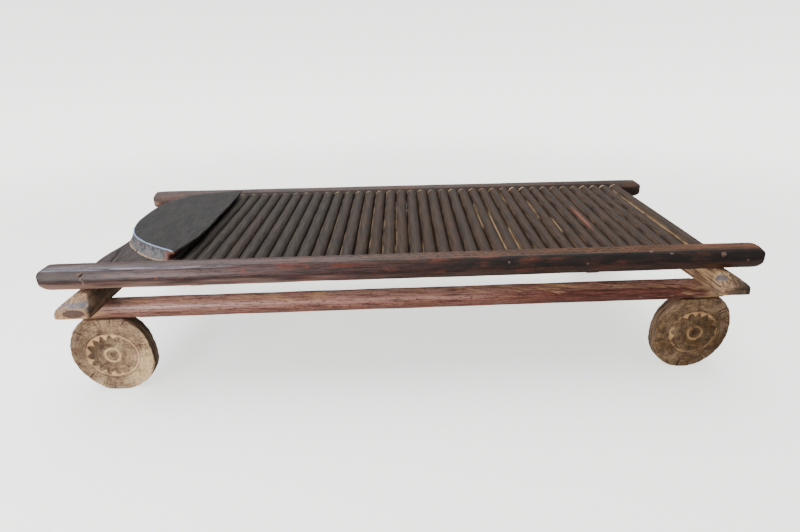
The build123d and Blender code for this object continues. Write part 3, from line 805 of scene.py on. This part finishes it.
# Round the section: over the top from the outer edge, down the inner edge, back below and up
over, down = np.linspace(0, 1, 88), np.linspace(0, 1, 14)[1:-1]
share = np.concatenate([over, 1 + 0 * down, over[::-1], 0 * down])[None, :]
rise = np.concatenate([1 + 0 * over, 1 - down, 0 * over, down])[None, :]
outer_x = BOARD_OUTER + 6 * (1 - (y / 405) ** 2) - 15 * step(y, -190, -340)
inner_x = BOARD_INNER[0] + (BOARD_INNER[1] - BOARD_INNER[0]) * np.clip((y + 380) / 763, 0, 1)
x = outer_x + (inner_x - outer_x) * share
z = BOARD_BASE + (BOARD_TOP - BOARD_BASE) * rise
spot = places(x, y, z)
top_side = rise > 0.5
eased = 2.6 * (1 - np.clip(np.minimum(x - outer_x, inner_x - x) / 5, 0, 1)) ** 2
rough = wander(rng, spot, (22, 60, 22)) * 0.7 + wander(rng, spot, (7, 30, 7)) * 0.25
splits = 0
for from_x, from_y, to_x, to_y, half in SPLITS:
    line_x = from_x + (to_x - from_x) * (y - from_y) / (to_y - from_y) + 1.5 * np.sin(y / 9)
    inside = step(y, to_y + 8, to_y - 8) * step(y, from_y - 1, from_y + 1)
    splits = np.maximum(splits, step(np.abs(x - line_x), half, half * 0.3) * inside)
z = z - top_side * (eased + 0.6 + np.clip(0.5 - rough, 0, 2) * 0.7 + BOARD_SPLIT_DEEP * splits)
# The underside and the long edges stay a little inside the solid
z = z + (rise < 0.1) * 0.3
inset = 0.4 + np.clip(0.4 - rough, 0, 2) * 0.6
x = x + np.where(share <= 0.001, inset, 0) - np.where(share >= 0.999, inset, 0)
skin(
    "head_board_plank", closed_ends(places(x, y, z), BOARD_END_RINGS),
    head_board_wood, "head_board_wood", "head_board",
    deep=np.clip(splits * 1.2, 0, 1) * top_side, corner=step(y, -352, -384) * step(x, -742, -724),
)

# ---------------------------------------------------------------------------
# Headrest. A half-moon block dowelled to the head board, undercut towards the
# sticks, with its outer wall flaring to the front. Heads have worn its top to a
# black satin. A bluish glint is painted along its upper edge, brightest at the
# front, and painted shade darkens the undercut wall on the slat side.

headrest_wood = Finish("worn_headrest")
wall, rim, deep, red_corner, seam = headrest_wood.layers("wall", "rim", "deep", "corner", "seam")
strip = headrest_wood.grain((9, 70, 9), 5, 0.6)
cloud = headrest_wood.grain((45, 60, 45), 4, 0.6, 6.0)
dust = headrest_wood.grain((6, 9, 6), 4, 0.7, 1.0)
black = headrest_wood.coats(
    headrest_wood.blend(paint(13, 12, 11), paint(42, 39, 37), strip.between(0.36, 0.66)),
    (paint(52, 46, 42), cloud.between(0.5, 0.74) * 0.5),
)
grey = headrest_wood.coats(
    headrest_wood.blend(paint(56, 55, 57), paint(108, 104, 104), strip.between(0.36, 0.64)),
    (paint(120, 98, 84), cloud.between(0.5, 0.72) * 0.5),
)
headrest_colour = headrest_wood.coats(
    headrest_wood.blend(black, grey, wall),
    # A bluish glint painted along the upper edge, brightest at the front
    (paint(160, 186, 220), rim * 0.8),
    (paint(128, 78, 62), red_corner * 0.8),
    (paint(34, 30, 28), dust.between(0.58, 0.76) * 0.5),
    (paint(180, 150, 124), seam * strip.between(0.3, 0.5)),
    # Painted shade on the undercut wall beside the sticks
    (paint(12, 10, 9), deep),
)
headrest_wood.done(
    headrest_colour, 0.44 + strip * 0.2 + wall * 0.08 - rim * 0.2,
    strip * 0.5 + cloud * 0.5 + dust * 0.2, 1.5, specular=0.42,
)

REST_BASE, REST_TOP, REST_ROUND = BOARD_TOP, 456, 4
# The block's underside stays this much above the board
REST_GAP = 0.2
REST_MID = np.array([-790.0, -10.0])
# From the front corner round the outer side to the back corner, then along the slat side
REST_FOOT = [
    (-714, -393), (-770, -370), (-838, -302), (-896, -210), (-919, -80), (-918, 60), (-907, 150),
    (-873, 218), (-804, 288), (-690, 346), (-685, 170), (-685, 0), (-694, -200),
]
REST_CROWN = [
    (-692, -385), (-730, -357), (-817, -286), (-884, -197), (-921, -74), (-925, 60), (-915, 150),
    (-882, 220), (-813, 291), (-655, 348), (-652, 170), (-655, 0), (-661, -225),
]
CORNERS = (0, 9)


def outline(knots, steps=40):
    """A smooth closed line through the knots, broken at the two corners."""
    line = []
    total = len(knots)
    for k in range(total):
        knot = np.array(knots[k], float)
        following = np.array(knots[(k + 1) % total], float)
        before = knot - (following - knot) if k in CORNERS else np.array(knots[k - 1], float)
        ends_here = (k + 1) % total in CORNERS
        after = following + (following - knot) if ends_here else np.array(knots[(k + 2) % total], float)
        start, stop = (following - before) / 2, (after - knot) / 2
        for t in np.linspace(0, 1, steps, endpoint=False):
            line.append(
                (2 * t ** 3 - 3 * t ** 2 + 1) * knot + (t ** 3 - 2 * t ** 2 + t) * start
                + (3 * t ** 2 - 2 * t ** 3) * following + (t ** 3 - t ** 2) * stop
            )
    return np.array(line)


# The crown's outline at even distances, and the foot's reach in the same directions
crown, foot = outline(REST_CROWN), outline(REST_FOOT)
sides = np.linalg.norm(np.diff(np.vstack([crown, crown[:1]]), axis=0), axis=1)
lengths = np.concatenate([[0], np.cumsum(sides)])
marks = np.linspace(0, lengths[-1], 521)[:-1]
crown = np.stack([np.interp(marks, lengths[:-1], crown[:, k]) for k in (0, 1)], 1)
crown_turn = np.unwrap(np.arctan2(crown[:, 1] - REST_MID[1], crown[:, 0] - REST_MID[0]))
crown_reach = np.linalg.norm(crown - REST_MID, axis=1)
foot_turn = np.arctan2(foot[:, 1] - REST_MID[1], foot[:, 0] - REST_MID[0])
order = np.argsort(foot_turn)
foot_reach = np.interp(
    (crown_turn + pi) % (2 * pi) - pi, foot_turn[order],
    np.linalg.norm(foot - REST_MID, axis=1)[order], period=2 * pi,
)
# Rings down the top, over the worn edge, down the flaring wall and back in below: their reach and
# height, and how far they belong to the wall and to the painted glint along the edge
top_in = np.concatenate([np.linspace(0.01, 0.93, 60), np.linspace(0.94, 1, 9)])[:, None]
bend = np.linspace(0, pi / 2, 7)[1:, None]
drop = np.linspace(0, 1, 20)[1:, None]
under_in = np.linspace(1, 0.02, 16)[1:, None]
reach = np.vstack([
    top_in * (crown_reach - REST_ROUND), crown_reach - REST_ROUND + REST_ROUND * np.sin(bend),
    crown_reach + (foot_reach - crown_reach) * drop ** 1.6, foot_reach * under_in,
])
wall_top = REST_TOP - REST_ROUND
z = np.vstack([
    REST_TOP + 0 * top_in, wall_top + REST_ROUND * np.cos(bend),
    wall_top - (wall_top - REST_BASE - REST_GAP) * drop, REST_BASE + REST_GAP + 0 * under_in,
])
walls = np.vstack([0 * top_in, step(bend, 0.6, 1.5), 1 + 0 * drop, 1 + 0 * under_in])
rim_glints = np.vstack([step(top_in, 0.985, 1) * 0.6, step(bend, 1.6, 0.7), 0 * drop, 0 * under_in])
rng = np.random.default_rng(61)
x = REST_MID[0] + reach * np.cos(crown_turn)
y = REST_MID[1] + reach * np.sin(crown_turn)
spot = places(x, y, z)
front_edge = step(y, -120, -200) * (x < -700) + 0.35 * (x < -850)
dents = wander(rng, spot, (60, 60, 60)) * 0.55 + wander(rng, spot, (16, 26, 16)) * 0.22
z = z - (1 - walls) * (z > wall_top - 2) * np.clip(0.7 - dents, 0, 3)
knocks = wander(rng, spot, (18, 18, 18)) * 0.6 - 0.7
shrink = 1 + np.minimum(knocks, 0) * walls * (z > REST_BASE + 1) / np.maximum(reach, 60)
x, y = REST_MID[0] + (x - REST_MID[0]) * shrink, REST_MID[1] + (y - REST_MID[1]) * shrink
# Painted shade on the undercut wall beside the sticks
slat_side = step(np.cos(crown_turn), -0.05, 0.12) * (x > -720) * walls
front_corner = step(y, -352, -372) * step(x, -740, -712)
skin(
    "headrest_block", places(x, y, z), headrest_wood, "headrest_wood", "headrest",
    wall=walls, rim=rim_glints * np.clip(front_edge, 0, 1), deep=0.36 * slat_side * (y > -372),
    corner=walls * np.clip(front_corner + 0.3 * slat_side * step(y, -230, -330), 0, 1),
    seam=0.8 * step(z, REST_BASE + 3.5, REST_BASE + 2) * step(y, -100, -260) * walls,
)

# ---------------------------------------------------------------------------
# Slats. Thirty-six straight sticks and a thicker end bar, each thinned at both
# ends to a tenon that sits in its mortise. They are peeled, greyed and rubbed
# dark, and bare wood shows where neighbours chafe. Painted shade darkens their
# lower flanks and the necks, and a painted sheen runs along each upper left flank.

slat_wood = Finish("peeled_sticks")
tone, bare, red, grime = slat_wood.layers("tone", "bare", "red", "grime")
fibre = slat_wood.grain((3.0, 150, 3.0), 5, 0.72)
band = slat_wood.grain((14, 120, 14), 4, 0.6, 3.0)
nick = slat_wood.grain((5, 16, 5), 4, 0.72, 7.0)
grey = slat_wood.blend(paint(13, 11, 9), paint(69, 58, 48), fibre.between(0.38, 0.62))
warm = slat_wood.blend(paint(18, 12, 7), paint(74, 50, 32), fibre.between(0.38, 0.62))
slat_colour = slat_wood.coats(
    slat_wood.blend(grey, warm, tone),
    (paint(64, 54, 45), band.between(0.52, 0.72) * 0.4),
    (paint(34, 27, 22), nick.between(0.58, 0.76) * 0.6),
    (paint(132, 74, 57), red * fibre.between(0.3, 0.5) * 0.85),
    # Bare wood where sticks chafe and at the back tips, with the painted sheen along the upper left flanks
    (paint(236, 198, 152), (bare * (0.45 + fibre)).at_most(0.95)),
    # Painted shade on the lower flanks and necks
    (paint(9, 7, 6), grime),
)
slat_wood.done(
    slat_colour, (0.4 + fibre * 0.22 + bare * 0.2).at_most(0.95),
    fibre * 0.7 + nick * 0.35 + band * 0.3, 1.3, specular=0.36,
)

TENON, TENON_R, STICK_R, END_BAR_R = 22.6, 8.3, 21, 24.6
SLAT_END_RINGS = 3
# Sticks before the first number get painted shade reaching higher up their flanks and a stronger painted
# sheen; the stick with the second shows red wood
HEAD_SLATS, BLUSHED = 16, 30
# Sticks with a chafed left flank: index: (from y, to y, strength)
CHAFED = {
    14: (-300, 60, 0.7), 15: (-320, 120, 1.0), 16: (-250, -60, 0.5), 17: (-380, -250, 0.6),
    22: (-120, 180, 0.8), 23: (-330, 90, 1.0), 24: (-340, -120, 0.9), 25: (160, 330, 0.6),
    27: (-20, 200, 0.8), 28: (-180, -30, 0.9), 34: (-60, 80, 0.4), 36: (-360, 330, 0.75),
}
# Stations along a stick, close together at its shoulders: from, to, how many
SLAT_RUNS = (
    (SHOULDERS[0] - TENON, SHOULDERS[0], 4), (SHOULDERS[0], SHOULDERS[0] + 30, 10),
    (SHOULDERS[0] + 30, SHOULDERS[1] - 44, 92), (SHOULDERS[1] - 44, SHOULDERS[1], 14),
    (SHOULDERS[1], SHOULDERS[1] + TENON, 4),
)
y = np.concatenate([np.linspace(*run)[:-1] for run in SLAT_RUNS] + [[SLAT_RUNS[-1][1]]])[:, None]
from_front, from_back = y - SHOULDERS[0], SHOULDERS[1] - y
ease = step(from_front, 10, 90) * step(from_back, 10, 90)
turn = np.linspace(0, 2 * pi, 54, endpoint=False)[None, :]
rng = np.random.default_rng(71)


def facing(degrees):
    """How far a stick's surface looks in one direction round it, as a cosine."""
    return np.cos(turn - radians(degrees))


for index in range(SLATS):
    last = index == SLATS - 1
    node = "foot_end_bar" if last else f"slat_{index + 1:02d}"
    grown = np.minimum(
        1 - np.clip(1 - from_front / rng.uniform(11, 15), 0, 1) ** 2,
        1 - np.clip(1 - from_back / rng.uniform(7, 13), 0, 1) ** 2,
    ) ** 0.5
    # A stick all but touches the next one
    full = END_BAR_R if last else (FRONT_PITCH + (BACK_PITCH - FRONT_PITCH) * from_front / SPAN) / 2
    # Each stick takes its unevenness from another place
    spot = places(STICK_R * np.cos(turn), y + index * 977.0, STICK_R * np.sin(turn))
    uneven = wander(rng, spot, (26, 130, 26)) * 0.5 + wander(rng, spot, (9, 60, 9)) * 0.3
    radius = TENON_R + (full - TENON_R) * grown + grown * np.clip(uneven * 0.3, -0.05, 0.0)
    sway_x = 0.5 * ease * np.sin(0.25 * index + y / 150)
    sway_z = ease * (rng.normal(0, 0.5) * np.sin(y / 170 + rng.uniform(0, 6)) - 0.4)
    x = slat_x(index, y) + sway_x + radius * np.cos(turn)
    z = SLAT_Z + SLAT_RISE * from_front / SPAN + sway_z + radius * np.sin(turn)
    # A painted sheen along each stick's upper left flank, stronger on the head sticks; listed sticks also
    # get chafed lines of bare wood
    painted_sheen = step(facing(146), 0.96, 0.99) * np.clip(0.4 + wander(rng, spot, (26, 90, 26)), 0, 1)
    chafe_and_sheen = (0.22 if index < HEAD_SLATS else 0.07) * painted_sheen
    if index in CHAFED:
        start, stop, strength = CHAFED[index]
        line = strength * step(facing(160), 0.984, 0.998)
        line = line * step(y, start - 20, start + 30) * step(y, stop + 30, stop - 20)
        chafe_and_sheen = np.maximum(chafe_and_sheen, line * np.clip(0.9 + 0.5 * wander(rng, spot, (30, 90, 30)), 0, 1))
    tips = step(from_back, 19, 10) * step(from_back, -1, 1) * step(facing(138), 0.6, 0.86)
    pale = np.clip(chafe_and_sheen + tips * min(rng.uniform(0.4, 1.4), 1.0), 0, 1)
    blush = step(np.abs(y + 50), 170, 50) * step(facing(114), 0.95, 0.995) * (index == BLUSHED)
    warmth = np.clip((index - 7) / 13 + 0.35 * rng.normal(), 0, 1)
    # Painted shade on the lower flanks, higher on the head sticks, and at the thinned necks
    shade_reach = (0.6, 0.3) if index < HEAD_SLATS else (0.36, 0.06)
    painted_shade = 0.96 * step(np.sin(turn), *shade_reach) + 0.85 * step(grown, 0.8, 0.4)
    skin(
        node + "_stick", closed_ends(places(x, y, z), SLAT_END_RINGS), slat_wood, "slat_wood", node,
        tone=warmth, bare=pale, red=blush, grime=np.clip(painted_shade * (1 - pale), 0, 1),
    )

# ---------------------------------------------------------------------------
# Pegs and dowels. Whittled pins of pale wood that hold the joints. Only the
# rail pegs' heads show, worn level with the rails' outer faces.

peg_wood = Finish("whittled_pegs")
fibre = peg_wood.grain((3, 3, 18), 4, 0.6)
grime = peg_wood.grain((4, 4, 4), 4, 0.7, 2.0)
peg_colour = peg_wood.coats(
    peg_wood.blend(paint(62, 46, 38), paint(112, 90, 76), fibre.between(0.3, 0.7)),
    (paint(58, 40, 32), grime.between(0.5, 0.7) * 0.8),
)
peg_wood.done(peg_colour, 0.6 + fibre * 0.2, fibre * 0.6 + grime * 0.5, 1.2, specular=0.4)
for name in ("rail_pegs", "lower_rail_pegs", "foot_dowels", "headrest_dowels"):
    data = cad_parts[name].data
    data.materials.clear()
    data.materials.append(peg_wood.material)

# ---------------------------------------------------------------------------
# Studio, in metres. A round pale floor that sweeps up into a wall, a soft ceiling,
# a cool box over the head end and a warm one before it, and the camera.

FLOOR_FLAT, SWEEP_FROM, SWEEP_R, WALL_TOP = 4.0, 8.0, 3.0, 14.0
FLOOR_SIDES, FLOOR_GLOW = 96, 2.3
sweep = Finish("pale_floor")
distance = sweep.node("ShaderNodeVectorMath", {"operation": "LENGTH"}, {0: sweep.place})
far = Value(sweep, distance.outputs["Value"]).between(2.2, 5.5)
glow = sweep.blend((0.58, 0.585, 0.565, 1), (0.89, 0.895, 0.87, 1), far)
chalk = sweep.node(
    "ShaderNodeBsdfPrincipled", None,
    {
        "Base Color": (0.95, 0.95, 0.94, 1), "Roughness": 0.9, "Specular IOR Level": 0.0,
        "Emission Color": glow, "Emission Strength": FLOOR_GLOW,
    },
)
sweep.node("ShaderNodeOutputMaterial", None, {"Surface": chalk.outputs[0]})
profile = [(0.01, 0.0), (FLOOR_FLAT, 0.0)]
profile += [
    (SWEEP_FROM + SWEEP_R * np.sin(angle), SWEEP_R - SWEEP_R * np.cos(angle))
    for angle in np.linspace(0, pi / 2, 25)]
profile += [(SWEEP_FROM + SWEEP_R, WALL_TOP)]
compass = np.linspace(0, 2 * pi, FLOOR_SIDES, endpoint=False)
vertices = [(out * np.cos(turn), out * np.sin(turn), up) for out, up in profile for turn in compass]
faces = []
for low in range(0, FLOOR_SIDES * (len(profile) - 1), FLOOR_SIDES):
    for here in range(FLOOR_SIDES):
        there = (here + 1) % FLOOR_SIDES
        faces.append((low + here, low + there, low + FLOOR_SIDES + there, low + FLOOR_SIDES + here))
faces.append(tuple(reversed(range(FLOOR_SIDES))))
floor_mesh = bpy.data.meshes.new("floor_sweep")
floor_mesh.from_pydata(vertices, [], faces)
floor_mesh.polygons.foreach_set("use_smooth", np.ones(len(faces), bool))
floor_mesh.materials.append(sweep.material)
floor = bpy.data.objects.new("floor_sweep", floor_mesh)
bpy.context.scene.collection.objects.link(floor)
# The floor glows to stay pale, so it is kept from lighting the bed or showing in its gloss
floor.visible_diffuse = False
floor.visible_glossy = False
floor.visible_shadow = False

world = bpy.data.worlds.new("studio_air")
world.use_nodes = True
air = world.node_tree.nodes["Background"].inputs
air["Color"].default_value = (0.97, 0.98, 1.0, 1)
air["Strength"].default_value = 0.36
bpy.context.scene.world = world


def put_lamp(name, kind, place, aim, power, colour, **shape):
    """A light at place that shines at aim."""
    light = bpy.data.lights.new(name, kind)
    light.energy, light.color = power, colour
    for key, setting in shape.items():
        setattr(light, key, setting)
    lamp = bpy.data.objects.new(name, light)
    place = Vector(place)
    turned = (place - Vector(aim)).to_track_quat("Z", "Y").to_matrix().to_4x4()
    lamp.matrix_world = Matrix.Translation(place) @ turned
    bpy.context.scene.collection.objects.link(lamp)


put_lamp("ceiling", "SUN", (-0.5, 0.9, 4.0), (-0.3, 0.0, 0.3), 3.3, (1.0, 0.98, 0.95), angle=radians(75))
put_lamp(
    "over_box", "AREA", (-1.95, -0.62, 1.98), (-1.05, -0.5, 0.4), 16, (0.6, 0.8, 1.0),
    shape="RECTANGLE", size=0.9, size_y=0.4)
put_lamp(
    "front_box", "AREA", (-2.3, -2.7, 0.8), (-0.8, -0.4, 0.35), 95, (1.0, 0.91, 0.88),
    shape="RECTANGLE", size=1.7, size_y=1.2)

# The camera stands before the bed at about a metre's height and looks down by 22 degrees
CAMERA_AT = Vector((-0.11118, -1.87994, 0.9984))
CAMERA_RIGHT = Vector((0.9986, -0.05126, -0.01296))
CAMERA_UP = Vector((0.03134, 0.37633, 0.92595))
LENS, FILM_WIDTH = 24.03, 36.0
camera_data = bpy.data.cameras.new("camera")
camera_data.lens, camera_data.sensor_width = LENS, FILM_WIDTH
camera = bpy.data.objects.new("camera", camera_data)
right = CAMERA_RIGHT.normalized()
back = right.cross(CAMERA_UP).normalized()
up = back.cross(right)
turned = Matrix((right, up, back)).transposed().to_4x4()
camera.matrix_world = Matrix.Translation(CAMERA_AT) @ turned
bpy.context.scene.collection.objects.link(camera)
bpy.context.scene.camera = camera
